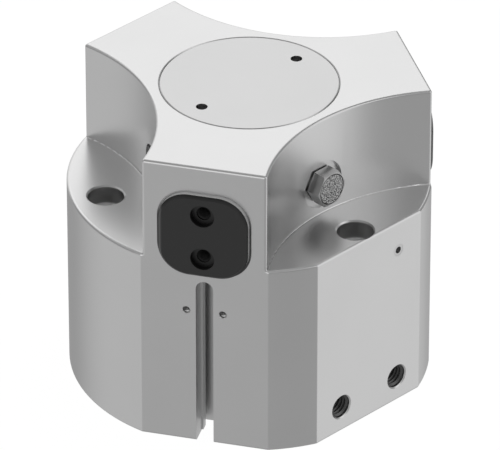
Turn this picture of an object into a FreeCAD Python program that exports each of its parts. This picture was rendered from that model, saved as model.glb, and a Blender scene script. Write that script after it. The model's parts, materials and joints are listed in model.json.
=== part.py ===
import FreeCAD, Part
import math
import os

# Three jaw centric gripper: a round body with three flat-faced arms, a sealed jaw in each arm,
# and an air piston below that drives all three jaws through one wedge hook.
# Millimetres, +Z up. The origin is on the axis at the mounting face, and the front arm points to -Y.
# Each arm and bay is modelled along +X and turned to its place about the axis.

V = FreeCAD.Vector
ORIGIN = V(0, 0, 0)
UP = V(0, 0, 1)
OUT = V(1, 0, 0)

# Body
arm_angles = {"front": -90, "right": 30, "left": 150}
bay_angles = {"right": -30, "back": 90, "left": 210}
body_diameter = 74.9
arm_flat_depth = 2.45        # the flat that a jaw comes out of, below the body's circle
port_flat_depth = 3.1        # the flat with the air ports, below the body's circle
shelf_below_jaw_axis = 6.7   # floor of the three bays
chamber_wall = 3.6           # left between the chamber and the middle of a bay's curved wall
edge_round = 0.55
bay_floor_fillet = 0.25
hole_bevel = 0.3
bay_corner_inset = 0.4       # a bay's wall meets the arm's flat this far inside the body's circle

# Running clearances and seats, all on the radius
running_clearance = 0.05
seat_clearance = 0.02
ring_clearance = 0.03
bolt_clearance = 0.1

# Jaws and their guides
jaw_size = 18.8
jaw_corner = 6.4
jaw_floor_gap = 3.05         # underside of the jaws above the ledge that the rod guide meets
jaw_roof_gap = 2.15          # top cover above the jaws
jaw_proud = 1.55             # jaw face beyond the arm face, gripper closed
jaw_stroke = 6.0
jaw_face_bevel = 0.6
jaw_hole_pitch = 10.0
jaw_thread_radius = 1.5
jaw_thread_depth = 7.0
jaw_sleeve_radius = 2.5      # counterbore for a centring sleeve
jaw_sleeve_depth = 1.3
jaw_sector_gap = 0.15        # from a jaw's flank to the plane it shares with its neighbour
wiper_wall = 0.4
wiper_depth = 2.0
wiper_recess = 0.1

# Wedge hook
wedge_slope = 0.6            # jaw travel for each millimetre of piston travel
hook_foot_gap = 1.7          # from the chamber's wall to a wedge face at the foot of the head
hook_corner_gap = 0.7
hook_lift = 1.0              # head above the rod guide, piston down
hook_roof_gap = 0.5          # top cover above the head, piston up
hook_jaw_gap = 0.35
tee_neck = 3.8
tee_width = 7.6
tee_neck_depth = 2.0
tee_head_depth = 2.0
tee_top_reach = 3.5          # a jaw's rail above the head, piston down
tee_bottom_gap = 0.95        # a jaw's rail above the jaw's underside
tee_clearance = 0.1
rod_radius = 6.0

# Cylinder and its ends
bore_radius = 21.0
chamber_ledge = 1.14         # that the top cover sits on
bore_reach = 4.0             # how far the port drillings run on past the bore's wall
bottom_seat_step = 1.0       # the bottom cover's seat outside the bore
bottom_cover_thickness = 5.0
piston_stop_height = 8.0
piston_stop_radius = 18.0
piston_rest_gap = 0.2
piston_end_gap = 1.225       # retaining ring above the piston, piston up
top_cover_radius = 18.34
top_cover_gap = 0.08
top_cover_thickness = 3.8
top_cover_bevel = 0.18
cover_pin_radius = 1.2
cover_pin_circle_radius = 13.6
cover_pin_angle = 60
cover_pin_depth = 3.0
bottom_pin_radius = 1.5
bottom_pin_circle_radius = 14.0
cover_groove_shift = 0.4     # a cover's O-ring from the middle of its thickness

# Piston
piston_clearance = 0.15
piston_thickness = 5.0
cap_thickness = 4.0
spigot_radius = 9.0
piston_seal_height = 2.2
piston_seal_depth = 2.4
piston_seal_rise = 1.4
piston_seal_lip = 0.5
magnet_setback = 0.45        # inside the piston's own radius
magnet_width = 4.5
magnet_thickness = 2.0
guide_ring_width = 1.1
guide_ring_depth = 1.0
guide_ring_rise = 0.6        # above the magnet
screw_radius = 2.5
screw_head_radius = 4.25
screw_head_gap = 0.25
screw_head_sink = 5.2        # underside of the head above the piston's underside
screw_head_height = 5.0
screw_length = 18.0
screw_socket_flats = 4.0
screw_end_gap = 1.5
web_thickness = 2.3

# Rod guide
guide_thickness = 7.5
bush_radius = 7.5
bush_length = 4.8
rod_seal_radius = 9.0
rod_seal_thickness = 1.7
rod_seal_lift = 0.5
rod_seal_mouth = 0.5         # half the width of the groove between the lips
rod_seal_lip = 0.8
rod_gap = 0.3
guide_groove_rise = 2.9      # O-ring above the rod guide's underside
air_groove_width = 1.6
air_groove_depth = 3.0
air_hole_radius = 0.8
retainer_thickness = 1.35
retainer_groove = 1.0
retainer_width = 2.6
retainer_gap_angle = 26
retainer_opening = 5.2
retainer_ear_radius = 2.2
retainer_ear_inset = 1.2
retainer_eye_radius = 0.8
retainer_play = 0.05
o_ring_section = 1.6

# Air ports and drillings
port_radius = 2.5
port_mouth_radius = 2.75
port_height = 5.8
port_pitch = 16.2
port_shift = 0.35            # middle of the two ports from the middle of their flat
port_depth = 7.0
lower_drilling_rise = 0.6
drilling_radius = 0.8
cross_drilling_drop = 0.9    # below the ledge that the rod guide meets
channel_plug_radius = 1.35
channel_plug_length = 2.8
channel_ball_radius = 0.75
channel_ball_depth = 1.5
channel_cup_floor = 0.4

# Fixing holes, sensor slots and plugs
fixing_edge_distance = 7.15  # centre of a fixing hole inside the body's circle
fixing_hole_radius = 2.25
fixing_head_radius = 3.75
fixing_head_depth = 5.0
slot_mouth = 3.64
slot_mouth_depth = 4.3
slot_neck = 3.0
slot_neck_depth = 6.1
slot_inner_width = 5.0
slot_depth = 8.1
slot_end_gap = 1.95          # top of the slot below the jaw
dimple_radius = 0.72
dimple_offset = 3.81
dimple_drop = 7.2            # below the top of the slot
dimple_depth = 0.6
dimple_point = 0.4
dimple_bevel = 0.15
plug_rise = 0.15             # above the axis of the jaws
spot_face_depth = 0.5
vent_spot_radius = 5.3
blank_spot_radius = 3.4
plug_thread_radius = 2.5
plug_tip_gap = 0.3           # thread's end outside the chamber's wall
vent_flats = 7.0
vent_collar = 0.3            # length of the round collar behind the hexagon
vent_collar_radius = 3.1
vent_hex_end = 3.05          # where the corners begin to be turned off, above the spot face
vent_front_radius = 3.75     # corners at the front
vent_length = 3.35
filter_radius = 3.35
filter_thickness = 1.0
vent_bore_radius = 1.1
blank_head_radius = 3.1
blank_head_height = 0.5
blank_head_bevel = 0.15
blank_socket_flats = 2.5
blank_socket_depth = 1.3
gasket_thickness = 0.25

# Places worked out from the sizes above, from the mounting face up and from the axis out
body_radius = body_diameter / 2
arm_face = body_radius - arm_flat_depth
port_flat = body_radius - port_flat_depth
fixing_circle_radius = body_radius - fixing_edge_distance
bottom_seat_radius = bore_radius + bottom_seat_step
chamber_radius = top_cover_radius - chamber_ledge
bay_wall = chamber_radius + chamber_wall
piston_radius = bore_radius - piston_clearance
magnet_outer_radius = piston_radius - magnet_setback
magnet_inner_radius = magnet_outer_radius - magnet_width
piston_stroke = jaw_stroke / wedge_slope
piston_rest = piston_stop_height + piston_rest_gap
piston_top = piston_rest + piston_thickness + cap_thickness
guide_bottom = piston_top + piston_stroke + piston_end_gap + retainer_thickness + retainer_play / 2
bore_top = guide_bottom + guide_thickness
jaw_bottom = bore_top + jaw_floor_gap
jaw_height = jaw_bottom + jaw_size / 2
chamber_top = jaw_bottom + jaw_size + jaw_roof_gap
body_height = chamber_top + top_cover_thickness
shelf_height = jaw_height - shelf_below_jaw_axis
hook_foot = bore_top + hook_lift
hook_top = chamber_top - hook_roof_gap - piston_stroke
hook_foot_radius = chamber_radius - hook_foot_gap
hook_corner_radius = chamber_radius - hook_corner_gap
slot_top = jaw_bottom - slot_end_gap
dimple_height = slot_top - dimple_drop
cross_drilling_height = bore_top - cross_drilling_drop
plug_height = jaw_height + plug_rise
spot_face_floor = bay_wall - spot_face_depth


def disc(radius, z0, z1):
    return Part.makeCylinder(radius, z1 - z0, V(0, 0, z0))


def ring(outer, inner, z0, z1):
    return disc(outer, z0, z1).cut(disc(inner, z0 - 1, z1 + 1))


def post(radius, x, y, z0, z1):
    return Part.makeCylinder(radius, z1 - z0, V(x, y, z0))


def drilled(radius, x0, x1, y, z):
    """A round hole or stud along +X, from x0 to x1."""
    return Part.makeCylinder(radius, x1 - x0, V(x0, y, z), OUT)


def countersink(radius, width, x, y, z):
    """The cone that breaks the mouth of a hole along +X at x."""
    return Part.makeCone(radius, radius + width, width, V(x - width, y, z), OUT)


def turned(shape, angle):
    copy = shape.copy()
    copy.rotate(ORIGIN, UP, angle)
    return copy


def polar(radius, angle):
    return V(radius * math.cos(math.radians(angle)), radius * math.sin(math.radians(angle)), 0)


def revolved(points):
    """A solid of revolution about the axis from (radius, z) corners."""
    corners = [V(r, 0, z) for r, z in points]
    face = Part.Face(Part.makePolygon(corners + corners[:1]))
    return face.revolve(ORIGIN, UP, 360)


def rounded_square(size, corner, x0, x1, z):
    """A square bar along +X with rounded corners, its section centred at height z."""
    bar = Part.makeBox(x1 - x0, size, size, V(x0, -size / 2, z - size / 2))
    along = [edge for edge in bar.Edges if abs(edge.tangentAt(0).x) > 0.9]
    return bar.makeFillet(corner, along)


def hexagon(flats, x0, x1, z):
    """A hexagonal bar along +X with a flat up."""
    corner = flats / math.sqrt(3)
    turns = [math.radians(60 * i) for i in range(6)]
    corners = [V(x0, corner * math.cos(t), z + corner * math.sin(t)) for t in turns]
    face = Part.Face(Part.makePolygon(corners + corners[:1]))
    return face.extrude(V(x1 - x0, 0, 0))


def o_ring(outer, section, z):
    """A seal ring squeezed flat against its groove and its seat: an octagon turned about the axis."""
    radius = section / 2 - ring_clearance
    middle = outer - section / 2
    corners = []
    for i in range(8):
        turn = math.radians(45 * i + 22.5)
        reach = radius / math.cos(math.radians(22.5))
        corners.append((middle + reach * math.cos(turn), z + reach * math.sin(turn)))
    return revolved(corners)


def flat_ends(distance, angle):
    """The two ends of a flat at this distance from the axis, on the body's circle."""
    half = math.degrees(math.acos(distance / body_radius))
    return polar(body_radius, angle - half), polar(body_radius, angle + half)


def body_outline():
    """The mounting face: three arm flats and the port flat, joined by arcs of the body's circle."""
    port_angle = bay_angles["right"]
    distances = {angle: arm_face for angle in arm_angles.values()}
    distances[port_angle] = port_flat
    angles = sorted(distances)
    flats = [flat_ends(distances[angle], angle) for angle in angles]
    edges = []
    for i, (start, end) in enumerate(flats):
        following = flats[(i + 1) % len(flats)][0]
        leave = math.degrees(math.atan2(end.y, end.x))
        arrive = math.degrees(math.atan2(following.y, following.x))
        middle = polar(body_radius, leave + (arrive - leave) % 360 / 2)
        edges.append(Part.makeLine(start, end))
        edges.append(Part.Arc(end, middle, following).toShape())
    return Part.Face(Part.Wire(edges))


def bay_cutter():
    """The bay along +X: a cylinder that leaves bay_wall at its middle and ends at the arms' corners."""
    corner = flat_ends(arm_face, 60)[0]
    x, y = corner.x - bay_corner_inset, abs(corner.y)
    centre = (x * x + y * y - bay_wall * bay_wall) / (2 * (x - bay_wall))
    radius = centre - bay_wall
    cutter = Part.makeCylinder(radius, body_height, V(centre, 0, shelf_height))
    rim = [edge for edge in cutter.Edges if abs(edge_middle(edge).z - shelf_height) < 0.01]
    return cutter.makeFillet(bay_floor_fillet, rim)


def body_block():
    """The turned and milled outside of the housing, with its edges rounded."""
    block = body_outline().extrude(V(0, 0, body_height))
    for angle in bay_angles.values():
        block = block.cut(turned(bay_cutter(), angle))
    broken = [edge for edge in block.Edges if is_outer_edge(edge)]
    return block.makeFillet(edge_round, broken)


def edge_middle(edge):
    return edge.valueAt((edge.FirstParameter + edge.LastParameter) / 2)


def is_outer_edge(edge):
    """True on every outer edge of the block, and not where a bay's wall meets the floor or its fillet."""
    middle = edge_middle(edge)
    radius = math.hypot(middle.x, middle.y)
    level = all(abs(vertex.Z - middle.z) < 0.01 for vertex in edge.Vertexes)
    at_end = abs(middle.z) < 0.01 or abs(middle.z - body_height) < 0.01
    at_rim = abs(middle.z - shelf_height) < 0.01 and radius > port_flat - 0.01
    upright = abs(edge.Vertexes[0].Z - edge.Vertexes[-1].Z) > shelf_height / 3
    return upright or level and (at_end or at_rim)


def sensor_slot():
    """The stepped slot of one arm: a mouth, a neck, and a wider channel behind it, each round at the top."""
    round_top = slot_top - slot_mouth / 2
    steps = ((slot_mouth, -1, slot_mouth_depth), (slot_neck, slot_mouth_depth, slot_neck_depth),
             (slot_inner_width, slot_neck_depth, slot_depth))
    cuts = []
    for width, start, end in steps:
        cuts.append(Part.makeBox(end - start, width, round_top + 1, V(arm_face - end, -width / 2, -1)))
        cuts.append(drilled(width / 2, arm_face - end, arm_face - start, 0, round_top))
    return cuts


def dimples():
    """The two shallow blind holes beside a sensor slot."""
    floor = arm_face - dimple_depth
    cuts = []
    for side in (-dimple_offset, dimple_offset):
        cuts.append(drilled(dimple_radius, floor, arm_face + 1, side, dimple_height))
        cuts.append(Part.makeCone(0, dimple_radius, dimple_point, V(floor - dimple_point, side, dimple_height), OUT))
        cuts.append(countersink(dimple_radius, dimple_bevel, arm_face, side, dimple_height))
    return cuts


def arm_cuts():
    """What is cut into one arm: jaw guide, wiper seat, sensor slot and its two dimples."""
    guide = rounded_square(jaw_size + 2 * running_clearance, jaw_corner, 0, arm_face + 1, jaw_height)
    seat = rounded_square(jaw_size + 2 * wiper_wall, jaw_corner + wiper_wall,
                          arm_face - wiper_depth, arm_face + 1, jaw_height)
    return guide.fuse([seat] + sensor_slot() + dimples())


def bay_cuts():
    """The counterbored fixing hole in the floor of one bay."""
    through = post(fixing_hole_radius, fixing_circle_radius, 0, -1, shelf_height + 1)
    head = post(fixing_head_radius, fixing_circle_radius, 0, shelf_height - fixing_head_depth, shelf_height + 1)
    mouth = Part.makeCone(fixing_head_radius, fixing_head_radius + hole_bevel, hole_bevel,
                          V(fixing_circle_radius, 0, shelf_height - hole_bevel))
    return through.fuse([head, mouth])


def plug_cuts(spot_radius):
    """The spot face and threaded hole for a plug in a bay's wall."""
    spot = drilled(spot_radius, spot_face_floor, bay_wall + spot_radius, 0, plug_height)
    hole = drilled(plug_thread_radius, chamber_radius - plug_thread_radius, bay_wall, 0, plug_height)
    return spot.fuse(hole)


def port_places():
    return port_shift - port_pitch / 2, port_shift + port_pitch / 2


def port_cuts():
    """Both air ports, the drillings behind them, and the seats of the two channel plugs."""
    lower_y, upper_y = port_places()
    bottom = port_flat - port_depth
    cuts = []
    for y in (lower_y, upper_y):
        cuts.append(drilled(port_radius, bottom, port_flat + 1, y, port_height))
        cuts.append(countersink(port_radius, port_mouth_radius - port_radius, port_flat, y, port_height))
    inside = bore_radius - bore_reach
    cuts.append(drilled(drilling_radius, inside, bottom + 1, lower_y, port_height + lower_drilling_rise))
    riser = bottom + drilling_radius
    cuts.append(post(drilling_radius, riser, upper_y, 0, cross_drilling_height))
    cuts.append(post(channel_plug_radius, riser, upper_y, -1, channel_plug_length))
    cuts.append(drilled(drilling_radius, inside, port_flat, upper_y, cross_drilling_height))
    cuts.append(drilled(channel_plug_radius, port_flat - channel_plug_length, port_flat + 1,
                        upper_y, cross_drilling_height))
    return cuts[0].fuse(cuts[1:])


def make_housing():
    seat_top = bottom_cover_thickness
    groove = guide_bottom - retainer_thickness - retainer_play
    cavity = disc(bottom_seat_radius, -1, seat_top).fuse([
        disc(bore_radius, 0, bore_top),
        disc(bore_radius + retainer_groove, groove, guide_bottom),
        disc(chamber_radius, bore_top - 1, body_height),
        disc(top_cover_radius + top_cover_gap, chamber_top, body_height + 1),
        Part.makeCone(top_cover_radius + top_cover_gap, top_cover_radius + top_cover_gap + top_cover_bevel,
                      top_cover_bevel, V(0, 0, body_height - top_cover_bevel)),
    ])
    housing = body_block().cut(cavity)
    for angle in arm_angles.values():
        housing = housing.cut(turned(arm_cuts(), angle))
    for angle in bay_angles.values():
        housing = housing.cut(turned(bay_cuts(), angle))
    for bay, spot_radius in (("right", vent_spot_radius), ("left", blank_spot_radius)):
        housing = housing.cut(turned(plug_cuts(spot_radius), bay_angles[bay]))
    return housing.cut(turned(port_cuts(), bay_angles["right"]))


def make_top_cover():
    cover = disc(top_cover_radius, chamber_top, body_height)
    rim = [edge for edge in cover.Edges if abs(edge_middle(edge).z - body_height) < 0.01]
    cover = cover.makeChamfer(top_cover_bevel, rim)
    groove = top_ring_height()
    cover = cover.cut(ring(top_cover_radius + 1, top_cover_radius + top_cover_gap - o_ring_section,
                           groove - o_ring_section / 2, groove + o_ring_section / 2))
    for angle in (cover_pin_angle, cover_pin_angle + 180):
        place = polar(cover_pin_circle_radius, angle)
        cover = cover.cut(post(cover_pin_radius, place.x, place.y, body_height - cover_pin_depth, body_height + 1))
    return cover


def top_ring_height():
    return chamber_top + top_cover_thickness / 2 - cover_groove_shift


def bottom_ring_height():
    return bottom_cover_thickness / 2 + cover_groove_shift


def make_bottom_cover():
    radius = bottom_seat_radius - seat_clearance
    cover = disc(radius, 0, bottom_cover_thickness)
    cover = cover.fuse(disc(piston_stop_radius, bottom_cover_thickness - 1, piston_stop_height))
    groove = bottom_ring_height()
    cover = cover.cut(ring(radius + 1, bottom_seat_radius - o_ring_section,
                           groove - o_ring_section / 2, groove + o_ring_section / 2))
    for angle in (cover_pin_angle, cover_pin_angle + 180):
        place = polar(bottom_pin_circle_radius, angle)
        cover = cover.cut(post(bottom_pin_radius, place.x, place.y, -1, cover_pin_depth))
    return cover


def guide_ring_height():
    return guide_bottom + guide_groove_rise


def make_rod_guide():
    """The disc that closes the cylinder, with the rod's bush and seal seats and the air way round it."""
    radius = bore_radius - ring_clearance
    top = bore_top - seat_clearance
    guide = disc(radius, guide_bottom, top)
    guide = guide.cut(disc(rod_radius + rod_gap, guide_bottom - 1, top + 1))
    guide = guide.cut(disc(bush_radius, top - bush_length, top + 1))
    seal_seat = guide_bottom + rod_seal_lift
    guide = guide.cut(disc(rod_seal_radius, seal_seat, seal_seat + rod_seal_thickness))
    height = guide_ring_height()
    guide = guide.cut(ring(radius + 1, bore_radius - o_ring_section,
                           height - o_ring_section / 2, height + o_ring_section / 2))
    air = cross_drilling_height - air_groove_width / 2
    guide = guide.cut(ring(radius + 1, radius - air_groove_depth, air, top + 1))
    hole = radius - air_groove_depth
    return guide.cut(turned(post(air_hole_radius, hole, 0, guide_bottom - 1, air + 1), bay_angles["right"]))


def make_retaining_ring():
    """A snap ring with two eyes, sprung into its groove below the rod guide."""
    outer = bore_radius + retainer_groove - ring_clearance
    top = guide_bottom - retainer_play / 2
    bottom = top - retainer_thickness
    band = ring(outer, outer - retainer_width, bottom, top)
    half = retainer_gap_angle / 2
    ear = outer - retainer_ear_radius - retainer_ear_inset
    for angle in (-half, half):
        place = polar(ear, angle)
        band = band.fuse(post(retainer_ear_radius, place.x, place.y, bottom, top))
    opening = Part.makeBox(outer, retainer_opening, retainer_thickness + 2,
                           V(ear - 2 * retainer_ear_radius, -retainer_opening / 2, bottom - 1))
    band = band.cut(opening)
    for angle in (-half, half):
        place = polar(ear, angle)
        band = band.cut(post(retainer_eye_radius, place.x, place.y, bottom - 1, top + 1))
    return turned(band.common(disc(outer, bottom, top)), bay_angles["left"])


def make_rod_seal():
    """A lip seal, open towards the pressure side below it."""
    inner = rod_radius + ring_clearance
    outer = rod_seal_radius - seat_clearance
    bottom = guide_bottom + rod_seal_lift + seat_clearance
    top = bottom + rod_seal_thickness - 2 * seat_clearance
    middle = (inner + outer) / 2
    return revolved([(inner, bottom), (inner, top), (outer, top), (outer, bottom),
                     (middle + rod_seal_mouth, bottom), (middle, bottom + rod_seal_lip),
                     (middle - rod_seal_mouth, bottom)])


def seal_bottom():
    return piston_rest + piston_seal_rise


def make_piston():
    top = piston_rest + piston_thickness
    cap_top = top + cap_thickness
    piston = disc(piston_radius, piston_rest, top).fuse(disc(spigot_radius, top - 1, cap_top))
    low = seal_bottom()
    piston = piston.cut(ring(piston_radius + 1, bore_radius - piston_seal_depth, low, low + piston_seal_height))
    head_seat = piston_rest + screw_head_sink
    piston = piston.cut(disc(rod_radius + seat_clearance, head_seat + web_thickness, cap_top + 1))
    piston = piston.cut(disc(screw_radius + bolt_clearance, piston_rest - 1, cap_top))
    return piston.cut(disc(screw_head_radius + screw_head_gap, piston_rest - 1, head_seat))


def make_piston_seal():
    """A double-lip ring in the piston's groove."""
    outer = bore_radius - running_clearance
    inner = bore_radius - piston_seal_depth + seat_clearance
    bottom = seal_bottom() + seat_clearance
    top = bottom + piston_seal_height - 2 * seat_clearance
    middle = (bottom + top) / 2
    lip = piston_seal_lip
    return revolved([(inner, bottom), (outer, bottom), (outer, bottom + lip), (outer - lip, middle),
                     (outer, top - lip), (outer, top), (inner, top)])


def make_piston_cap():
    bottom = piston_rest + piston_thickness
    top = bottom + cap_thickness
    cap = ring(piston_radius, spigot_radius + seat_clearance, bottom, top)
    cap = cap.cut(ring(piston_radius + 1, magnet_inner_radius, bottom - 1, bottom + magnet_thickness + seat_clearance))
    low = guide_ring_bottom()
    return cap.cut(ring(piston_radius + 1, bore_radius - guide_ring_depth, low, low + guide_ring_width))


def guide_ring_bottom():
    return piston_rest + piston_thickness + magnet_thickness + guide_ring_rise


def make_piston_guide_ring():
    low = guide_ring_bottom() + seat_clearance
    return ring(bore_radius - running_clearance, bore_radius - guide_ring_depth + seat_clearance,
                low, low + guide_ring_width - 2 * seat_clearance)


def make_magnet():
    bottom = piston_rest + piston_thickness
    return ring(magnet_outer_radius, magnet_inner_radius + seat_clearance, bottom, bottom + magnet_thickness)


def make_piston_screw():
    """The cap screw that pulls the rod into the piston."""
    head_top = piston_rest + screw_head_sink
    head = disc(screw_head_radius, head_top - screw_head_height, head_top)
    shank = disc(screw_radius, head_top - 1, head_top + screw_length - screw_head_height)
    socket = hexagon(screw_socket_flats, 0, screw_head_height / 2, 0)
    socket.rotate(ORIGIN, V(0, 1, 0), -90)
    socket.translate(V(0, 0, head_top - screw_head_height))
    return head.fuse(shank).cut(socket)


def wedge_face(z):
    """Axis to a wedge face of the hook at this height, piston down."""
    return hook_foot_radius - wedge_slope * (z - hook_foot)


def tee_slope(width, outer_from, outer_to, z0, z1):
    """A bar along the wedge's slope: width across, and a span of radius outside or inside the wedge face."""
    low = wedge_face(z0)
    half = width / 2
    corners = [V(low + outer_from, -half, z0), V(low + outer_to, -half, z0),
               V(low + outer_to, half, z0), V(low + outer_from, half, z0)]
    face = Part.Face(Part.makePolygon(corners + corners[:1]))
    return face.extrude(V(wedge_face(z1) - low, 0, z1 - z0))


def make_wedge_hook():
    """Rod and head in one: three wedge faces, each with an undercut slot that holds a jaw."""
    triangles = []
    for z in (hook_foot, hook_top):
        corners = [polar(2 * wedge_face(z), angle + 60) + V(0, 0, z) for angle in sorted(arm_angles.values())]
        triangles.append(Part.makePolygon(corners + corners[:1]))
    head = Part.makeLoft(triangles, True, True)
    head = head.common(disc(hook_corner_radius, hook_foot, hook_top))
    rod_bottom = piston_rest + screw_head_sink + web_thickness + seat_clearance
    hook = head.fuse(disc(rod_radius, rod_bottom, hook_foot + 1))
    neck = tee_slope(tee_neck + 2 * tee_clearance, -tee_neck_depth, 1, hook_foot - 1, hook_top + 1)
    slot = tee_slope(tee_width + 4 * tee_clearance, -tee_neck_depth - tee_head_depth - tee_clearance,
                     -tee_neck_depth, hook_foot - 1, hook_top + 1)
    for angle in arm_angles.values():
        hook = hook.cut(turned(neck.fuse(slot), angle))
    thread_top = piston_rest + screw_head_sink - screw_head_height + screw_length + screw_end_gap
    return hook.cut(disc(screw_radius + seat_clearance, rod_bottom - 1, thread_top))


def make_jaw():
    """A square jaw along +X: wedge face and hooked rail inside, threaded finger holes outside."""
    jaw_face = arm_face + jaw_proud
    bar = rounded_square(jaw_size, jaw_corner, 0, jaw_face, jaw_height)
    rim = [edge for edge in bar.Edges if abs(edge_middle(edge).x - jaw_face) < 0.01]
    bar = bar.makeChamfer(jaw_face_bevel, rim)
    low, high = jaw_bottom - 1, jaw_bottom + jaw_size + 1
    inside = tee_slope(4 * jaw_size, -4 * jaw_size, hook_jaw_gap, low, high)
    bar = bar.cut(inside)
    tee_bottom = jaw_bottom + tee_bottom_gap
    tee_top = hook_top + tee_top_reach
    neck = tee_slope(tee_neck, -tee_neck_depth - tee_clearance - 0.5, hook_jaw_gap + 0.5, tee_bottom, tee_top)
    head = tee_slope(tee_width, -tee_neck_depth - tee_head_depth, -tee_neck_depth - tee_clearance,
                     tee_bottom, tee_top)
    jaw = bar.fuse(neck.fuse(head)).common(jaw_sector())
    for side in (-1, 1):
        z = jaw_height + side * jaw_hole_pitch / 2
        jaw = jaw.cut(drilled(jaw_thread_radius, jaw_face - jaw_thread_depth, jaw_face + 1, 0, z))
        jaw = jaw.cut(drilled(jaw_sleeve_radius, jaw_face - jaw_sleeve_depth, jaw_face + 1, 0, z))
    return jaw


def jaw_sector():
    """The third of the chamber that belongs to the jaw along +X."""
    tip = V(jaw_sector_gap / math.sin(math.radians(60)), 0, 0)
    reach = 2 * body_radius
    corners = [tip, tip + V(reach, -reach * math.tan(math.radians(60)), 0),
               tip + V(reach, reach * math.tan(math.radians(60)), 0)]
    return Part.Face(Part.makePolygon(corners + corners[:1])).extrude(V(0, 0, body_height))


def make_wiper():
    """The rubber frame in the mouth of a jaw guide."""
    front = arm_face - wiper_recess
    back = arm_face - wiper_depth + seat_clearance
    outside = rounded_square(jaw_size + 2 * wiper_wall - 2 * seat_clearance, jaw_corner + wiper_wall,
                             back, front, jaw_height)
    return outside.cut(rounded_square(jaw_size + 2 * running_clearance, jaw_corner, back - 1, front + 1, jaw_height))


def plug_shank(end):
    """The threaded end of a plug, from just outside the chamber to x = end."""
    return drilled(plug_thread_radius - seat_clearance, chamber_radius + plug_tip_gap, end, 0, plug_height)


def make_vent_plug():
    """A hexagon-headed breather on a round collar, with its corners turned off round the sintered filter."""
    seat = spot_face_floor + seat_clearance
    hex_from = spot_face_floor + vent_collar
    hex_to = spot_face_floor + vent_hex_end
    front = spot_face_floor + vent_length
    corner = vent_flats / math.sqrt(3)
    turned_off = Part.makeCone(corner, vent_front_radius, front - hex_to, V(hex_to, 0, plug_height), OUT)
    straight = drilled(corner, hex_from - 1, hex_to, 0, plug_height)
    head = hexagon(vent_flats, hex_from, front, plug_height).common(turned_off.fuse(straight))
    collar = drilled(vent_collar_radius, seat, hex_from + 1, 0, plug_height)
    plug = head.fuse([collar, plug_shank(hex_from + 1)])
    pocket = front - filter_thickness
    plug = plug.cut(drilled(filter_radius + seat_clearance, pocket, front + 1, 0, plug_height))
    return plug.cut(drilled(vent_bore_radius, chamber_radius, pocket + 1, 0, plug_height))


def make_vent_filter():
    front = spot_face_floor + vent_length
    return drilled(filter_radius, front - filter_thickness + seat_clearance, front, 0, plug_height)


def make_blanking_plug():
    """A low round head with a hexagon socket, on its gasket."""
    seat = spot_face_floor + gasket_thickness + seat_clearance
    front = seat + blank_head_height
    head = drilled(blank_head_radius, seat, front, 0, plug_height)
    rim = [edge for edge in head.Edges if abs(edge_middle(edge).x - front) < 0.01]
    plug = head.makeChamfer(blank_head_bevel, rim).fuse(plug_shank(front - blank_head_bevel))
    return plug.cut(hexagon(blank_socket_flats, front - blank_socket_depth, front + 1, plug_height))


def make_gasket():
    seat = spot_face_floor + seat_clearance
    outside = drilled(blank_head_radius, seat, seat + gasket_thickness - seat_clearance, 0, plug_height)
    return outside.cut(drilled(plug_thread_radius + bolt_clearance, seat - 1, seat + 1, 0, plug_height))


def channel_plugs(ball):
    """The expanding plugs of the two drillings: their sleeves, or the balls pressed into them."""
    upper_y = port_places()[1]
    riser = port_flat - port_depth + drilling_radius
    sleeve = post(channel_plug_radius - seat_clearance, 0, 0, seat_clearance, channel_plug_length)
    cup = post(channel_ball_radius, 0, 0, -1, channel_plug_length - channel_cup_floor)
    if ball:
        piece = Part.makeSphere(channel_ball_radius - seat_clearance, V(0, 0, channel_ball_depth))
    else:
        piece = sleeve.cut(cup)
    below = piece.copy()
    below.translate(V(riser, upper_y, 0))
    beside = piece.copy()
    beside.rotate(ORIGIN, V(0, 1, 0), -90)
    beside.translate(V(port_flat, upper_y, cross_drilling_height))
    return turned(Part.makeCompound([below, beside]), bay_angles["right"])


def build():
    parts = {
        "housing": make_housing(),
        "top_cover": make_top_cover(),
        "top_cover_o_ring": o_ring(top_cover_radius + top_cover_gap, o_ring_section, top_ring_height()),
        "bottom_cover": make_bottom_cover(),
        "bottom_cover_o_ring": o_ring(bottom_seat_radius, o_ring_section, bottom_ring_height()),
        "rod_guide": make_rod_guide(),
        "rod_guide_o_ring": o_ring(bore_radius, o_ring_section, guide_ring_height()),
        "rod_guide_retaining_ring": make_retaining_ring(),
        "rod_bush": ring(bush_radius - seat_clearance, rod_radius + running_clearance,
                         bore_top - bush_length, bore_top - seat_clearance),
        "rod_seal": make_rod_seal(),
        "piston": make_piston(),
        "piston_seal": make_piston_seal(),
        "piston_cap": make_piston_cap(),
        "piston_guide_ring": make_piston_guide_ring(),
        "piston_magnet": make_magnet(),
        "piston_screw": make_piston_screw(),
        "wedge_hook": make_wedge_hook(),
        "vent_plug": turned(make_vent_plug(), bay_angles["right"]),
        "vent_filter": turned(make_vent_filter(), bay_angles["right"]),
        "blanking_plug": turned(make_blanking_plug(), bay_angles["left"]),
        "blanking_plug_gasket": turned(make_gasket(), bay_angles["left"]),
        "channel_plug_sleeves": channel_plugs(False),
        "channel_plug_balls": channel_plugs(True),
    }
    for name, angle in arm_angles.items():
        parts["jaw_" + name] = turned(make_jaw(), angle)
        parts["wiper_" + name] = turned(make_wiper(), angle)
    return parts


os.makedirs("parts", exist_ok=True)
for name, shape in build().items():
    shape.exportStep("parts/" + name + ".step")
    print(name, len(shape.Solids), shape.isValid(), round(shape.Volume, 1))
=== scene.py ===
import json
import math

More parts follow.
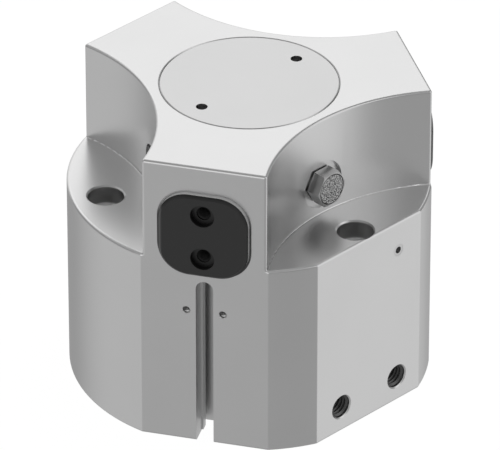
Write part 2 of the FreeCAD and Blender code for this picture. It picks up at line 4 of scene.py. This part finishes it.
import bpy
import numpy as np
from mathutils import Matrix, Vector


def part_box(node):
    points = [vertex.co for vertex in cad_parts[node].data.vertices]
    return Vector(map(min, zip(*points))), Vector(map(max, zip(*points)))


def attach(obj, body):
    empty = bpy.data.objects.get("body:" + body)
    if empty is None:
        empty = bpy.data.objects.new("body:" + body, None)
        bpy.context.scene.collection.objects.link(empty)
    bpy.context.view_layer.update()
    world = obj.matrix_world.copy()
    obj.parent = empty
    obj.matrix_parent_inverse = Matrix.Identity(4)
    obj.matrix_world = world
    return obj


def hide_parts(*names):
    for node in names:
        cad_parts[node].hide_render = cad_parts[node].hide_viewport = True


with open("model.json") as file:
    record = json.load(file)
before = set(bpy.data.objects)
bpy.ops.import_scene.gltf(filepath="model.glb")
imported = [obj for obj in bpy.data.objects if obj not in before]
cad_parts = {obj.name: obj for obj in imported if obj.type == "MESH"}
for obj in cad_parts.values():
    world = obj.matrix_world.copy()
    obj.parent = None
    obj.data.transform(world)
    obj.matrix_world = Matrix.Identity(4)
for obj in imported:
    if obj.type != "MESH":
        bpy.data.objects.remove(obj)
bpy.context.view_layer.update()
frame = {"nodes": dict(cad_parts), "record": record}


# The camera stands where the photograph's stood: far off with a long lens, a little to the right of the
# front arm and well above it. Its distance, turn and lens were fitted to the photograph, with the length
# from the axis to an arm's face as the unit.

mounts = {mount["name"]: mount for mount in frame["record"]["mounts"]}
arm_face = -mounts["sensor_slot_front"]["pos_m"][1]
view_azimuth = math.radians(15.0)
view_elevation = math.radians(31.63)
view_distance = 40.5 * arm_face
aim_height = 0.0318
photo_width, photo_height = 500, 450
focal_pixels = 6890
middle_pixel = (249.36, 222.03)

camera_data = bpy.data.cameras.new("camera")
camera_data.sensor_width = 36
camera_data.lens = focal_pixels * camera_data.sensor_width / photo_width
camera_data.shift_x = (photo_width / 2 - middle_pixel[0]) / photo_width
camera_data.shift_y = (middle_pixel[1] - photo_height / 2) / photo_width
camera_data.clip_end = 20
camera = bpy.data.objects.new("camera", camera_data)
bpy.context.collection.objects.link(camera)
back = (math.sin(view_azimuth) * math.cos(view_elevation),
        -math.cos(view_azimuth) * math.cos(view_elevation), math.sin(view_elevation))
camera.location = (back[0] * view_distance, back[1] * view_distance, back[2] * view_distance + aim_height)
camera.rotation_euler = (math.pi / 2 - view_elevation, 0, view_azimuth)
bpy.context.scene.camera = camera
bpy.context.scene.view_settings.view_transform = "Standard"


# The gripper stands on a large sheet of white paper. The camera sees the sheet lit to plain white, with
# only a breath of the gripper's shadow on it, and metal sees the room's own light in its place.

def linear(hex_colour):
    """An sRGB hex colour as linear red, green, blue and a full alpha."""
    parts = [int(hex_colour[i:i + 2], 16) / 255 for i in (1, 3, 5)]
    return [p / 12.92 if p <= 0.04045 else ((p + 0.055) / 1.055) ** 2.4 for p in parts] + [1.0]


def add(tree, kind, sockets=None, **settings):
    """Adds a node with its settings. A socket is given a value, or another node's output to link."""
    made = tree.nodes.new(kind)
    for name, value in settings.items():
        setattr(made, name, value)
    for name, value in (sockets or {}).items():
        if isinstance(value, bpy.types.NodeSocket):
            tree.links.new(value, made.inputs[name])
        else:
            made.inputs[name].default_value = value
    return made


paper_reach = 3.0
paper_glow = 1.05
paper_glow_share = 0.94      # of what the camera sees; the rest is the sheet with its shadow

floor_mesh = bpy.data.meshes.new("floor")
floor_mesh.from_pydata([(-paper_reach, -paper_reach, 0), (paper_reach, -paper_reach, 0),
                        (paper_reach, paper_reach, 0), (-paper_reach, paper_reach, 0)], [], [(0, 1, 2, 3)])
floor = bpy.data.objects.new("floor", floor_mesh)
bpy.context.collection.objects.link(floor)
floor.visible_glossy = False

paper = bpy.data.materials.new("white_paper")
paper.use_nodes = True
tree = paper.node_tree
tree.nodes.clear()
rays = add(tree, "ShaderNodeLightPath")
sheet = add(tree, "ShaderNodeBsdfDiffuse", {"Color": linear("#c9c9c9"), "Roughness": 0.5})
glow = add(tree, "ShaderNodeEmission", {"Color": linear("#ffffff"), "Strength": paper_glow})
seen = add(tree, "ShaderNodeMath", {0: rays.outputs["Is Camera Ray"], 1: paper_glow_share},
           operation="MULTIPLY")
mixed = add(tree, "ShaderNodeMixShader", {0: seen.outputs[0], 1: sheet.outputs[0], 2: glow.outputs[0]})
add(tree, "ShaderNodeOutputMaterial", {"Surface": mixed.outputs[0]})
floor_mesh.materials.append(paper)


# The room round the gripper is a white tent with brighter cloths in it, which the satin metal mirrors as
# soft bands. Below the horizon it is the lit paper, above that a dim wall with bright strips, then a
# paler wall with a window at the back, and a darker ceiling that draws the dark lines on the edges.

def within(tree, *limits):
    """How far a place lies within some limits, from 0 to 1. Each limit is a value, where it is outside
    and where it is inside, with a smooth step between the two. The steps are multiplied."""
    amount = None
    for value, outside, inside in limits:
        step = add(tree, "ShaderNodeMapRange", {"Value": value, "From Min": outside, "From Max": inside},
                   interpolation_type="SMOOTHSTEP").outputs[0]
        amount = step if amount is None else add(tree, "ShaderNodeMath", {0: amount, 1: step},
                                                 operation="MULTIPLY").outputs[0]
    return amount


def cloths(tree, way, level, *rows):
    """A level of light with some cloths added to it, each a smooth spot about its middle. A row is the
    middle's azimuth from the right by the back and its elevation in degrees, the cosines of the angles
    from the middle where the cloth begins and is full, and the light that it adds there."""
    for azimuth, elevation, begins, full, light in rows:
        turn, rise = math.radians(azimuth), math.radians(elevation)
        middle = (math.cos(turn) * math.cos(rise), math.sin(turn) * math.cos(rise), math.sin(rise))
        near = add(tree, "ShaderNodeVectorMath", {0: way, 1: middle}, operation="DOT_PRODUCT")
        share = within(tree, (near.outputs["Value"], begins, full))
        level = add(tree, "ShaderNodeMath", {0: share, 1: light, 2: level},
                    operation="MULTIPLY_ADD").outputs[0]
    return level


world = bpy.data.worlds.new("studio")
bpy.context.scene.world = world
world.use_nodes = True
tree = world.node_tree
tree.nodes.clear()
way = add(tree, "ShaderNodeTexCoord").outputs["Generated"]
height = add(tree, "ShaderNodeSeparateXYZ", {"Vector": way}).outputs["Z"]

paper_level = cloths(tree, way, 0.45,
                     (28, 0, 0.52, 0.86, 0.45),      # lit from the right
                     (200, 0, 0.40, 0.80, 0.23),     # and less from the left
                     (140, 0, 0.60, 0.85, -0.05))    # dimmer at the back
low_level = cloths(tree, way, 0.33,
                   (257, 0, 0.80, 0.98, 0.95),       # strip in front
                   (8, 0, 0.85, 0.97, 0.70),         # strip on the right
                   (122, 0, 0.80, 0.97, 0.60))       # strip at the back
high_level = cloths(tree, way, 0.57,
                    (117, 31, 0.72, 0.98, 0.84),     # window at the back
                    (0, 31, 0.80, 0.98, 0.65),       # cloth on the right
                    (42, 31, 0.88, 0.99, -0.24))     # dark pillar between the two
wall_level = add(tree, "ShaderNodeMix", {"Factor": within(tree, (height, 0.25, 0.5)), 2: low_level,
                                         3: high_level}).outputs[0]
ceiling = cloths(tree, way, 1.0, (0, 90, 0.62, 0.88, -0.58))
wall_level = add(tree, "ShaderNodeMath", {0: wall_level, 1: ceiling}, operation="MULTIPLY").outputs[0]
wall_level = cloths(tree, way, wall_level, (0, 90, 0.93, 0.99, 0.50))    # skylight straight above
level = add(tree, "ShaderNodeMix", {"Factor": within(tree, (height, -0.42, -0.1)), 2: paper_level,
                                    3: wall_level}).outputs[0]

# Mirrored light has the cloths in it, matt faces get one even light, and the camera sees plain white.
even_light = 0.45
rays = add(tree, "ShaderNodeLightPath")
seen_clear = add(tree, "ShaderNodeMath", {0: rays.outputs["Is Camera Ray"],
                                          1: rays.outputs["Is Transmission Ray"]}, operation="MAXIMUM")
mirrored = add(tree, "ShaderNodeBackground", {"Color": linear("#ffffff"), "Strength": level})
even = add(tree, "ShaderNodeBackground", {"Color": linear("#ffffff"), "Strength": even_light})
backdrop = add(tree, "ShaderNodeBackground", {"Color": linear("#ffffff"), "Strength": 1.0})
mixed = add(tree, "ShaderNodeMixShader", {0: rays.outputs["Is Glossy Ray"], 1: even.outputs[0],
                                          2: mirrored.outputs[0]})
mixed = add(tree, "ShaderNodeMixShader", {0: seen_clear.outputs[0], 1: mixed.outputs[0],
                                          2: backdrop.outputs[0]})
add(tree, "ShaderNodeOutputWorld", {"Surface": mixed.outputs[0]})

# One soft lamp stands high at the back on the right. It lights the paper and the flat tops, and isn't
# mirrored, so that the edges keep the room's soft lines.
lamp_azimuth = math.radians(150)     # from the front by the right
lamp_elevation = math.radians(62)
lamp_distance = 0.9
lamp_aim_height = 0.03
lamp_data = bpy.data.lights.new("key", "AREA")
lamp_data.shape = "SQUARE"
lamp_data.size = 0.4
lamp_data.energy = 3.0
lamp = bpy.data.objects.new("key", lamp_data)
bpy.context.collection.objects.link(lamp)
lamp.location = (lamp_distance * math.sin(lamp_azimuth) * math.cos(lamp_elevation),
                 -lamp_distance * math.cos(lamp_azimuth) * math.cos(lamp_elevation),
                 lamp_distance * math.sin(lamp_elevation) + lamp_aim_height)
lamp.rotation_euler = (math.pi / 2 - lamp_elevation, 0, lamp_azimuth)
lamp.visible_glossy = False


# The housing is milled from one block of aluminium, bead blasted and clear anodised. The blasting gives
# a pale satin grey with a very fine grain and soft wide reflections. The broken edges and the places
# that are cut after blasting carry painted shade and painted highlights in their tone.

def anodised(name, colour):
    """Satin anodised aluminium: the blasted grain in its gloss and bump, and a slow drift of its tone.
    The grain is drawn coarser than the real one, which would be too fine to show."""
    roughness, gloss_drift, tone_drift = 0.30, 0.015, 0.03
    grain_mm, drift_mm = 0.25, 18.2
    grain_depth, grain_share = 0.00004, 0.03
    finish = bpy.data.materials.new(name)
    finish.use_nodes = True
    tree = finish.node_tree
    shader = tree.nodes["Principled BSDF"]
    place = add(tree, "ShaderNodeTexCoord").outputs["Object"]
    drift = add(tree, "ShaderNodeTexNoise", {"Vector": place, "Scale": 1000 / drift_mm, "Detail": 3.0})
    tone = add(tree, "ShaderNodeMix", {"Factor": drift.outputs["Fac"]}, data_type="RGBA")
    tone.inputs[6].default_value = [c * (1 - tone_drift) for c in linear(colour)[:3]] + [1.0]
    tone.inputs[7].default_value = [min(1.0, c * (1 + tone_drift)) for c in linear(colour)[:3]] + [1.0]
    tree.links.new(tone.outputs[2], shader.inputs["Base Color"])
    grain = add(tree, "ShaderNodeTexNoise", {"Vector": place, "Scale": 1000 / grain_mm, "Detail": 2.0})
    gloss = add(tree, "ShaderNodeMapRange", {"Value": grain.outputs["Fac"], "From Min": 0.3, "From Max": 0.7,
                                             "To Min": roughness - gloss_drift,
                                             "To Max": roughness + gloss_drift})
    tree.links.new(gloss.outputs[0], shader.inputs["Roughness"])
    bump = add(tree, "ShaderNodeBump", {"Height": grain.outputs["Fac"], "Strength": grain_share,
                                        "Distance": grain_depth})
    tree.links.new(bump.outputs[0], shader.inputs["Normal"])
    shader.inputs["Metallic"].default_value = 1.0
    return finish


def dress(names, finish):
    """Puts one finish on some CAD pieces."""
    for name in names:
        mesh = frame["nodes"][name].data
        mesh.materials.clear()
        mesh.materials.append(finish)


def nearest_apart(tree, place, middles):
    """The distance from a place to the nearest of some points."""
    nearest = None
    for middle in middles:
        apart = add(tree, "ShaderNodeVectorMath", {0: place, 1: middle}, operation="DISTANCE")
        apart = apart.outputs["Value"]
        nearest = apart if nearest is None else add(tree, "ShaderNodeMath", {0: nearest, 1: apart},
                                                    operation="MINIMUM").outputs[0]
    return nearest


def polar(angle, out, across=0.0, height=0.0):
    """A point so far out along an angle in degrees, so far across it and so high."""
    turn = math.radians(angle)
    return (out * math.cos(turn) - across * math.sin(turn), out * math.sin(turn) + across * math.cos(turn),
            height)


def retouch(finish, name, where, value):
    """Changes an input of a finish to a value as far as a place lies where it says, from 0 to 1."""
    tree = finish.node_tree
    socket = tree.nodes["Principled BSDF"].inputs[name]
    if name == "Base Color":
        mix = add(tree, "ShaderNodeMix", {"Factor": where}, data_type="RGBA")
        before, after, mixed = mix.inputs[6], mix.inputs[7], mix.outputs[2]
    else:
        mix = add(tree, "ShaderNodeMix", {"Factor": where})
        before, after, mixed = mix.inputs[2], mix.inputs[3], mix.outputs[0]
    if socket.is_linked:
        tree.links.new(socket.links[0].from_socket, before)
    else:
        before.default_value = socket.default_value
    after.default_value = value
    tree.links.new(mixed, socket)


arm_angles = {"front": -90, "right": 30, "left": 150}
bay_angles = {"right": -30, "back": 90, "left": 210}
housing_finish = anodised("blasted_anodised_aluminium", "#d4d4d4")
dress(["housing"], housing_finish)

tree = housing_finish.node_tree
place = add(tree, "ShaderNodeTexCoord").outputs["Object"]
parts = add(tree, "ShaderNodeSeparateXYZ", {"Vector": place})
x, y, z = parts.outputs["X"], parts.outputs["Y"], parts.outputs["Z"]
flat_place = add(tree, "ShaderNodeCombineXYZ", {"X": x, "Y": y}).outputs[0]

# The two small dimples beside each sensor slot get painted shade: their colour is darkened a little
# above their middle and to one side, where shade falls in them.
dimple_across = 0.00381      # from the middle of the slot
dimple_height = 0.0312
shade_depth, shade_shift = 0.0007, 0.0002
dimple_shade_spots = [polar(arm, arm_face - shade_depth, side - shade_shift, dimple_height + shade_shift)
             for arm in arm_angles.values() for side in (-dimple_across, dimple_across)]
painted_dimple_shade = within(tree, (nearest_apart(tree, place, dimple_shade_spots), 0.00085, 0.0007))
# Painted shade: the dimples are darkened to a mid grey.
retouch(housing_finish, "Base Color", painted_dimple_shade, linear("#6e6e6e"))

# The small fillet between a bay's wall and its floor has painted light. On the right a painted highlight
# makes it a bright line, and beside the front arm painted shade makes the line dull.
bay_middle, bay_radius, bay_floor, bay_fillet = 0.06039, 0.03959, 0.04305, 0.00025
fillet_top, fillet_start = bay_floor + bay_fillet, bay_radius - bay_fillet
blend = 0.00003
from_middle = nearest_apart(tree, flat_place, [polar(bay, bay_middle) for bay in bay_angles.values()])
in_fillet = ((z, bay_floor, bay_floor + blend),
             (z, fillet_top, fillet_top - blend),
             (from_middle, fillet_start - blend, fillet_start),
             (from_middle, bay_radius + 0.00004, bay_radius + 0.00001))
painted_fillet_shade = within(tree, (x, 0.0175, 0.013), (x, 0.0, 0.005), *in_fillet)
painted_fillet_highlight = within(tree, (x, 0.016, 0.021), *in_fillet)
# Painted shade dims the fillet beside the front arm, and a painted highlight brightens it on the right.
retouch(housing_finish, "Base Color", painted_fillet_shade, linear("#9a9a9a"))
retouch(housing_finish, "Base Color", painted_fillet_highlight, linear("#ececec"))

# The walls of the fixing holes are bored after blasting and are rougher, most of all near the bottom.
# Painted shade makes them darker than the faces round them, and painted light makes them paler near the
# bottom.
fixing_circle = mounts["fixing_screws"]["dims"]["pcd_mm"] / 2000
head_radius = 0.0038
from_hole = nearest_apart(tree, flat_place, [polar(bay, fixing_circle) for bay in bay_angles.values()])
bored_wall = ((from_hole, head_radius + 0.00002, head_radius - 0.00002),
              (z, bay_floor - 0.0003, bay_floor - 0.0006))
shaded_bore = within(tree, *bored_wall)
lit_bore_bottom = within(tree, *bored_wall, (z, bay_floor - 0.0037, bay_floor - 0.0043))
# Painted shade darkens the bore walls and painted light pales their bottoms; the roughness is the bore's
# own.
retouch(housing_finish, "Base Color", shaded_bore, linear("#a4a4a4"))
retouch(housing_finish, "Base Color", lit_bore_bottom, linear("#ffffff"))
retouch(housing_finish, "Roughness", shaded_bore, 0.42)
retouch(housing_finish, "Roughness", lit_bore_bottom, 0.75)


# The jaws are hardened steel bars, blackened to a matt black; painted shade makes them darkest in the bores
# and round the bevel. Their flanks are rubbed bare by the guides, and a painted highlight shows them as a
# thin grey ring round the face. A painted highlight makes the left edge of the face a little paler.

def plain_finish(name, colour, roughness, metallic=1.0, grain_mm=0.4, gloss_drift=0.04):
    """An even finish with a faint grain in its gloss, drawn coarse enough to show."""
    finish = bpy.data.materials.new(name)
    finish.use_nodes = True
    tree = finish.node_tree
    shader = tree.nodes["Principled BSDF"]
    shader.inputs["Base Color"].default_value = linear(colour)
    shader.inputs["Metallic"].default_value = metallic
    place = add(tree, "ShaderNodeTexCoord").outputs["Object"]
    grain = add(tree, "ShaderNodeTexNoise", {"Vector": place, "Scale": 1000 / grain_mm, "Detail": 2.0})
    gloss = add(tree, "ShaderNodeMapRange", {"Value": grain.outputs["Fac"], "From Min": 0.3, "From Max": 0.7,
                                             "To Min": roughness - gloss_drift,
                                             "To Max": roughness + gloss_drift})
    tree.links.new(gloss.outputs[0], shader.inputs["Roughness"])
    return finish


jaw_height = (mounts["finger_front_upper"]["pos_m"][2] + mounts["finger_front_lower"]["pos_m"][2]) / 2
jaw_face = -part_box("jaw_front")[0].y
jaw_bevel = 0.0006
jaw_rubbed_from = 0.0083     # from the jaw's own axis: outside the finger holes
jaw_lit_edge = 0.0088       # across from that axis: where face and bevel meet


def blackened_jaw(name, angle):
    """Black oxide on steel with painted shade and painted highlights, in the jaw's own directions: x out of
    the arm, y across it, z from its axis.
    """
    finish = plain_finish(name, "#292929", 0.41, 0.0, grain_mm=1 / 3, gloss_drift=0.05)
    tree = finish.node_tree
    place = add(tree, "ShaderNodeTexCoord").outputs["Object"]
    own = add(tree, "ShaderNodeMapping", {"Vector": place, "Rotation": (0, 0, -math.radians(angle)),
                                          "Location": (0, 0, -jaw_height)})
    parts = add(tree, "ShaderNodeSeparateXYZ", {"Vector": own.outputs[0]})
    x, y, z = parts.outputs["X"], parts.outputs["Y"], parts.outputs["Z"]
    shaded_bore = within(tree, (x, jaw_face - 0.00002, jaw_face - jaw_bevel))
    lit_left_edge = within(tree, (y, -jaw_lit_edge - 0.0004, -jaw_lit_edge - 0.0001),
                  (y, -jaw_lit_edge + 0.0004, -jaw_lit_edge + 0.0001))
    across = add(tree, "ShaderNodeCombineXYZ", {"Y": y, "Z": z})
    from_axis = add(tree, "ShaderNodeVectorMath", {0: across.outputs[0]}, operation="LENGTH")
    outside = add(tree, "ShaderNodeMath", {0: from_axis.outputs["Value"], 1: jaw_rubbed_from},
                  operation="GREATER_THAN")
    behind = add(tree, "ShaderNodeMath", {0: x, 1: jaw_face - jaw_bevel}, operation="LESS_THAN")
    rubbed = add(tree, "ShaderNodeMath", {0: outside.outputs[0], 1: behind.outputs[0]},
                 operation="MULTIPLY").outputs[0]
    outside_guide = within(tree, (x, jaw_face - 0.0024, jaw_face - 0.0017))
    painted_flank_ring = add(tree, "ShaderNodeMath", {0: rubbed, 1: outside_guide}, operation="MULTIPLY").outputs[0]
    # Painted shade: the bores and the bevel are darkened almost to black.
    retouch(finish, "Base Color", shaded_bore, linear("#0c0c0c"))
    # Painted highlight: the left edge of the face is drawn paler.
    retouch(finish, "Base Color", lit_left_edge, linear("#585858"))
    retouch(finish, "Base Color", rubbed, linear("#6a6a6a"))
    # Painted highlight: the flank where it stands out of the arm is drawn as a pale ring.
    retouch(finish, "Base Color", painted_flank_ring, linear("#ececec"))
    retouch(finish, "Metallic", rubbed, 0.5)
    return finish


for side, angle in arm_angles.items():
    dress(["jaw_" + side], blackened_jaw("black_oxide_steel_" + side, angle))


# Every jaw runs in a thin frame of moulded black rubber, pressed into its arm, that wipes it and seals
# the guide. The rubber is a dark soft grey, and painted light makes its upper rim pale.
wiper_rubber = plain_finish("black_nitrile_rubber", "#505050", 0.5, 0.0)
tree = wiper_rubber.node_tree
place = add(tree, "ShaderNodeTexCoord").outputs["Object"]
z = add(tree, "ShaderNodeSeparateXYZ", {"Vector": place}).outputs["Z"]
lit_upper_rim = within(tree, (z, jaw_height + 0.002, jaw_height + 0.0085))
# Painted light: the upper rim of the wiper is drawn pale.
retouch(wiper_rubber, "Base Color", lit_upper_rim, linear("#d0d0d0"))
dress(["wiper_front", "wiper_right", "wiper_left"], wiper_rubber)


# The finger holes are tapped M3 and the air ports M5. Each thread is one closed ridge that winds down
# its hole's wall. In the jaws it is blackened with them and painted shade makes it nearly lost in the dark,
# and in the ports it is bare cut aluminium that glints, painted darker with shade.

def thread_ridge(radius, pitch, depth):
    """A tapped thread about +X as one closed ridge. Its section has two corners in the hole's wall, with
    nearly a pitch between them, and two close together at the crest, a thread's height inside. It turns
    by an angle t and moves by pitch * t / 2 pi, from half a pitch in. The crest sinks into the wall over
    the first and last quarter turn."""
    turns = depth / pitch - 1
    t = np.linspace(0, 2 * math.pi * turns, int(thread_steps * turns))
    rise = np.clip(np.minimum(t, t[-1] - t) / (math.pi / 2), 0, 1)
    wall = np.full_like(t, radius + thread_root)
    crest = radius - thread_height * pitch * rise
    reach = np.stack([wall, crest, crest, wall])
    half_width = pitch * np.array([[-root_half], [-crest_half], [crest_half], [root_half]])
    x = pitch * (t / (2 * math.pi) + 0.5) + half_width
    points = np.stack([x, reach * np.cos(t), reach * np.sin(t)], axis=-1).transpose(1, 0, 2).reshape(-1, 3)
    corner = np.arange(4)
    following = (corner + 1) % 4
    here = 4 * np.arange(len(t) - 1)[:, None]
    sides = np.stack([here + corner, here + following, here + 4 + following, here + 4 + corner], axis=-1)
    ends = [(3, 2, 1, 0), tuple(4 * (len(t) - 1) + corner)]
    return points, sides.reshape(-1, 4).tolist() + ends


def placed(points, place, axis):
    """Points about +X moved to a place, with +X turned to a level axis."""
    turn = math.atan2(axis[1], axis[0])
    x = points[:, 0] * math.cos(turn) - points[:, 1] * math.sin(turn)
    y = points[:, 0] * math.sin(turn) + points[:, 1] * math.cos(turn)
    return np.stack([x, y, points[:, 2]], axis=-1) + np.array(place)


def new_piece(name, points, faces, finish, body):
    """A mesh piece at the origin that rides on a body."""
    mesh = bpy.data.meshes.new(name)
    mesh.from_pydata(points.tolist(), [], faces)
    mesh.materials.append(finish)
    mesh.update()
    piece = bpy.data.objects.new(name, mesh)
    bpy.context.collection.objects.link(piece)
    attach(piece, body)
    return piece


thread_steps = 40                                # sections in a turn
thread_root = 0.00002                            # how far a ridge goes into its hole's wall
thread_height = 0.54                             # in pitches, as are the next two
root_half, crest_half = 0.48, 0.05
thread_pitch = {1.5: 0.0005, 2.5: 0.0008}        # of M3 and M5, by the radius in millimetres
# Both thread colours hold painted shade: they are darker than their metal, as the inside of a hole looks.
thread_finish = {"finger": plain_finish("black_oxide_thread_shaded", "#060606", 0.6, 0.0),
                 "air": plain_finish("cut_aluminium_thread_shaded", "#626262", 0.4)}
for hole in mounts.values():
    if hole["kind"] != "threaded_hole":
        continue
    radius_mm, length_mm = hole["dims"]["r_mm"], hole["dims"]["length_mm"]
    points, faces = thread_ridge(radius_mm / 1000, thread_pitch[radius_mm], length_mm / 1000)
    points[:, 0] -= length_mm / 2000
    use, side = hole["name"].split("_")[:2]
    carrier = "jaw_" + side if use == "finger" else "housing"
    new_piece("thread_" + hole["name"], placed(points, hole["pos_m"], hole["axis"]), faces,
              thread_finish[use], carrier)


# The breather in the right bay is a hexagon plug of brass, nickel plated to a smooth neutral grey. Its
# filter is a disc of steel grains sintered together and pressed into it. Painted shade darkens the gaps
# and the rim, and painted glints pale the grain tops. The grains are drawn at about twice their real size,
# so that they show.

def sintered_disc(radius, thickness, grain):
    """A disc about +X. Its front is the upper envelope of balls of the grain's size, laid on a square
    grid and shifted a little at random. Its rim and back are plain. Also gives each point's height
    between the gaps, 0, and the tops of the grains, 1."""
    rings, sectors, rim_rings = 56, 168, 3
    spacing, shift = 0.85 * grain, 0.3 * grain
    r = radius * np.linspace(1, 0, rings, endpoint=False)[:, None]
    t = 2 * math.pi * np.arange(sectors) / sectors
    y, z = np.append((r * np.cos(t)).ravel(), 0.0), np.append((r * np.sin(t)).ravel(), 0.0)
    places = np.arange(-radius, radius + grain, spacing)
    centres = np.stack(np.meshgrid(places, places), axis=-1).reshape(-1, 2)
    chance = np.random.default_rng(7)
    centres = centres + chance.uniform(-1, 1, centres.shape) * shift
    size = grain / 2 * chance.uniform(0.9, 1.25, len(centres))
    apart = (y[:, None] - centres[:, 0]) ** 2 + (z[:, None] - centres[:, 1]) ** 2
    rise = np.sqrt(np.clip(size ** 2 - apart, 0, None)).max(axis=1)
    rise[:rim_rings * sectors] = 0
    front = np.stack([thickness / 2 - grain / 2 + rise, y, z], axis=-1)
    back = np.stack([np.full(sectors, -thickness / 2), y[:sectors], z[:sectors]], axis=-1)
    points = np.concatenate([front, back, [[-thickness / 2, 0, 0]]])
    height = np.zeros(len(points))
    height[:len(rise)] = rise / rise.max()
    i, j = np.arange(sectors), (np.arange(sectors) + 1) % sectors
    ring = (sectors * np.arange(rings - 1))[:, None]
    quads = np.stack([ring + i, ring + j, ring + j + sectors, ring + i + sectors], axis=-1).reshape(-1, 4)
    inner, centre, rear = sectors * (rings - 1), sectors * rings, sectors * rings + 1
    middle = np.stack([inner + i, inner + j, np.full(sectors, centre)], axis=-1)
    rim = np.stack([rear + i, rear + j, j, i], axis=-1)
    behind = np.stack([rear + j, rear + i, np.full(sectors, rear + sectors)], axis=-1)
    return points, quads.tolist() + middle.tolist() + rim.tolist() + behind.tolist(), height


dress(["vent_plug"], plain_finish("nickel_plated_brass", "#bababa", 0.32))

sintered = plain_finish("sintered_steel_painted_light", "#484848", 0.45)
# Painted shade and painted glints: dark in the gaps and round the rim, pale on the grain tops.
height = add(sintered.node_tree, "ShaderNodeAttribute", attribute_name="height").outputs["Fac"]
retouch(sintered, "Base Color", height, linear("#dedede"))

filter_low, filter_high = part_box("vent_filter")
filter_grain = 0.00038
filter_thickness = 0.00098       # that of its solid
filter_turn = math.radians(bay_angles["right"])
filter_radius = (filter_high.z - filter_low.z) / 2
points, faces, grain_heights = sintered_disc(filter_radius, filter_thickness, filter_grain)
vent_filter = new_piece("sintered_filter", placed(points, (filter_low + filter_high) / 2,
                                                  (math.cos(filter_turn), math.sin(filter_turn))),
                        faces, sintered, "housing")
vent_filter.data.attributes.new("height", "FLOAT", "POINT").data.foreach_set("value", grain_heights)
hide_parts("vent_filter")


# The drilled air channels are closed by plugs: a zinc plated sleeve, bright and a little soft, spread in
# its hole by a bearing ball that shows as a darker, sharper dot. In the left bay a blackened screw plug
# with a rubber gasket under its head closes an opening like the breather's.
channel_zinc = plain_finish("zinc_plated_steel", "#cccccc", 0.35)
channel_ball = plain_finish("bearing_steel", "#8c8c8c", 0.3, 0.4)
black_screw = plain_finish("black_oxide_steel", "#303030", 0.4, 0.6)
ring_rubber = plain_finish("black_nitrile_rubber_moulded", "#161616", 0.6, 0.0)
dress(["channel_plug_sleeves"], channel_zinc)
dress(["channel_plug_balls"], channel_ball)
dress(["blanking_plug"], black_screw)
dress(["blanking_plug_gasket"], ring_rubber)


# The wedge hook drives the jaws: rod and three-sided head in one piece of hardened steel, ground on its
# slides and held to the piston by a screw. Grinding leaves it the brightest metal inside.
dress(["wedge_hook"], plain_finish("ground_hardened_steel", "#b4b4b8", 0.25))


# The rod guide closes the cylinder above the piston. It is turned from bar and anodised like the
# housing, a shade darker because it isn't blasted. A brown bronze bush and a dark green lip seal sit
# round the rod in it, and a ring of phosphated spring steel, a dull bluish grey, keeps it in its bore.
turned_finish = anodised("turned_anodised_aluminium", "#c6c6c6")
lip_seal = plain_finish("green_polyurethane", "#3d4a2a", 0.5, 0.0)
dress(["rod_guide"], turned_finish)
dress(["rod_guide_o_ring"], ring_rubber)
dress(["rod_guide_retaining_ring"], plain_finish("phosphated_spring_steel", "#4a4c50", 0.45))
dress(["rod_bush"], plain_finish("sintered_bronze", "#a87a48", 0.45))
dress(["rod_seal"], lip_seal)


# The piston is turned in two halves that clamp a magnet for the sensors between them. The magnet is
# plastic filled with powder, almost black, and the guide strip round it a brownish filled plastic. The
# blackened cap screw holds both halves to the rod.
dress(["piston", "piston_cap"], turned_finish)
dress(["piston_seal"], lip_seal)
dress(["piston_guide_ring"], plain_finish("filled_plastic_strip", "#5a5048", 0.55, 0.0))
dress(["piston_magnet"], plain_finish("plastic_bonded_magnet", "#2a2a2c", 0.6, 0.2))
dress(["piston_screw"], black_screw)


# The two covers are turned aluminium discs, each let in over a black O-ring that doesn't show and
# turned tight with a pin wrench in its two small holes. The upper one looks a shade darker than the
# arms round it.
dress(["top_cover", "bottom_cover"], turned_finish)
dress(["top_cover_o_ring", "bottom_cover_o_ring"], ring_rubber)
